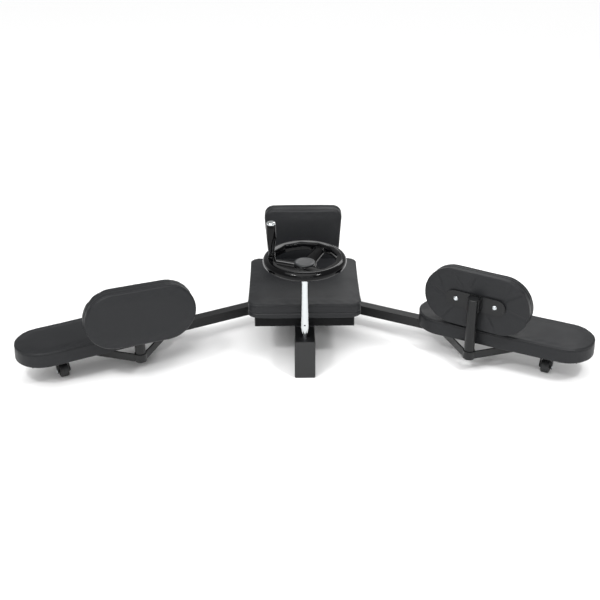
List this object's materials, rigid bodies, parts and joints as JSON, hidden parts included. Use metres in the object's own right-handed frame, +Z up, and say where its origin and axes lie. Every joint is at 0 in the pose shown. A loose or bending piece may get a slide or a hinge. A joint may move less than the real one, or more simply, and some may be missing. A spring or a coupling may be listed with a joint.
{
  "type": "leg stretching machine",
  "caption": "Seated leg-split stretcher: box beam with seat, backrest and geared handwheel that swings two long padded arms on casters, each with a swivelling oval pad.",
  "frame": {"origin": "where the handwheel stem's axis meets the underside of the box beam, on the floor", "axes": "+Z up, +Y from the handwheel to the backrest, +X along the spread of the arms"},
  "size_m": [1.3936, 0.476, 0.4036],
  "materials": {
    "frame_steel": "semi-gloss black powder coat",
    "vinyl": "matt black grained vinyl over foam",
    "plywood": "raw birch plywood",
    "bakelite": "polished black phenolic",
    "plastic_trim": "black moulded plastic",
    "chrome": "polished chrome plate",
    "zinc": "bright zinc plate",
    "gear_steel": "machined steel, oiled",
    "bronze": "machined bronze",
    "caster_rubber": "black rubber tread"
  },
  "bodies": {
    "root": {"main_beam": "frame_steel", "front_cap": "plastic_trim", "rear_cap": "plastic_trim", "stem_bush": "plastic_trim", "stem_foot_bearing": "bronze", "screw_bearings": "frame_steel", "pivot_brackets": "frame_steel", "pivot_bolts": "zinc", "crossbars": "frame_steel", "crossbar_caps": "plastic_trim", "seat_board": "plywood", "seat_cushion": "vinyl", "seat_bolts": "zinc", "back_board": "plywood", "back_cushion": "vinyl", "back_plate": "frame_steel", "back_bolts": "zinc", "backrest_post": "frame_steel", "backrest_post_cap": "plastic_trim"},
    "handwheel_assembly": {"drive_shaft": "gear_steel", "stem_tube": "chrome", "stem_pin": "chrome", "stem_bevel_gear": "gear_steel", "handwheel": "bakelite", "hub_cap": "bakelite", "grip_spindle": "chrome"},
    "grip_body": {"grip": "bakelite"},
    "screw_body": {"lead_screw": "gear_steel", "screw_bevel_gear": "gear_steel", "screw_collar": "gear_steel"},
    "rack_body": {"double_rack": "gear_steel", "screw_nut": "bronze"},
    "right_arm": {"right_arm_tube": "frame_steel", "right_sector_gear": "gear_steel", "right_leg_board": "plywood", "right_leg_cushion": "vinyl", "right_brace": "frame_steel", "right_spigot": "gear_steel"},
    "right_oval_pad": {"right_pad_post": "frame_steel", "right_post_cap": "plastic_trim", "right_strap": "frame_steel", "right_strap_bolts": "zinc", "right_oval_board": "plywood", "right_oval_cushion": "vinyl"},
    "right_caster": {"right_caster_fork": "frame_steel"},
    "right_caster_roller": {"right_caster_wheel": "caster_rubber"},
    "left_arm": {"left_arm_tube": "frame_steel", "left_sector_gear": "gear_steel", "left_leg_board": "plywood", "left_leg_cushion": "vinyl", "left_brace": "frame_steel", "left_spigot": "gear_steel"},
    "left_oval_pad": {"left_pad_post": "frame_steel", "left_post_cap": "plastic_trim", "left_strap": "frame_steel", "left_strap_bolts": "zinc", "left_oval_board": "plywood", "left_oval_cushion": "vinyl"},
    "left_caster": {"left_caster_fork": "frame_steel"},
    "left_caster_roller": {"left_caster_wheel": "caster_rubber"}
  },
  "joints": [
    {"name": "right_arm_swing", "type": "hinge", "parent": "root", "child": "right_arm", "pos_m": [0.045, 0.29, 0.054], "axis": [0, 0, 1], "range_deg": [-33, 27]},
    {"name": "left_arm_swing", "type": "hinge", "parent": "root", "child": "left_arm", "pos_m": [-0.045, 0.29, 0.054], "axis": [0, 0, 1], "range_deg": [-27, 33]},
    {"name": "handwheel_spin", "type": "hinge", "parent": "root", "child": "handwheel_assembly", "pos_m": [0, 0, 0.3], "axis": [0, 0, 1], "range_deg": [-1399.58, 1710.6]},
    {"name": "grip_spin", "type": "hinge", "parent": "handwheel_assembly", "child": "grip_body", "pos_m": [-0.076, 0, 0.36], "axis": [0, 0, 1], "continuous": true},
    {"name": "screw_spin", "type": "hinge", "parent": "root", "child": "screw_body", "pos_m": [0, 0.1, 0.055], "axis": [0, 1, 0], "range_deg": [-1710.6, 1399.58]},
    {"name": "rack_slide", "type": "slide", "parent": "root", "child": "rack_body", "axis": [0, 1, 0], "range_m": [-0.01555, 0.01901]},
    {"name": "right_pad_swivel", "type": "hinge", "parent": "right_arm", "child": "right_oval_pad", "pos_m": [0.3979, 0.0002, 0.1], "axis": [0, 0, 1], "continuous": true},
    {"name": "right_caster_swivel", "type": "hinge", "parent": "right_arm", "child": "right_caster", "pos_m": [0.59386, 0.01034, 0.04], "axis": [0, 0, 1], "continuous": true},
    {"name": "right_caster_roll", "type": "hinge", "parent": "right_caster", "child": "right_caster_roller", "pos_m": [0.58887, 0.00054, 0.016], "axis": [0.891, -0.454, 0], "continuous": true},
    {"name": "left_pad_swivel", "type": "hinge", "parent": "left_arm", "child": "left_oval_pad", "pos_m": [-0.3979, 0.0002, 0.1], "axis": [0, 0, 1], "continuous": true},
    {"name": "left_caster_swivel", "type": "hinge", "parent": "left_arm", "child": "left_caster", "pos_m": [-0.59386, 0.01034, 0.04], "axis": [0, 0, 1], "continuous": true},
    {"name": "left_caster_roll", "type": "hinge", "parent": "left_caster", "child": "left_caster_roller", "pos_m": [-0.58887, 0.00054, 0.016], "axis": [-0.891, -0.454, 0], "continuous": true}
  ],
  "couplings": [
    {"joint": "left_arm_swing", "follows": "right_arm_swing", "ratio": -1},
    {"joint": "rack_slide", "follows": "right_arm_swing", "m_per_rad": -0.033},
    {"joint": "screw_spin", "follows": "right_arm_swing", "ratio": 51.836},
    {"joint": "handwheel_spin", "follows": "right_arm_swing", "ratio": -51.836}
  ]
}
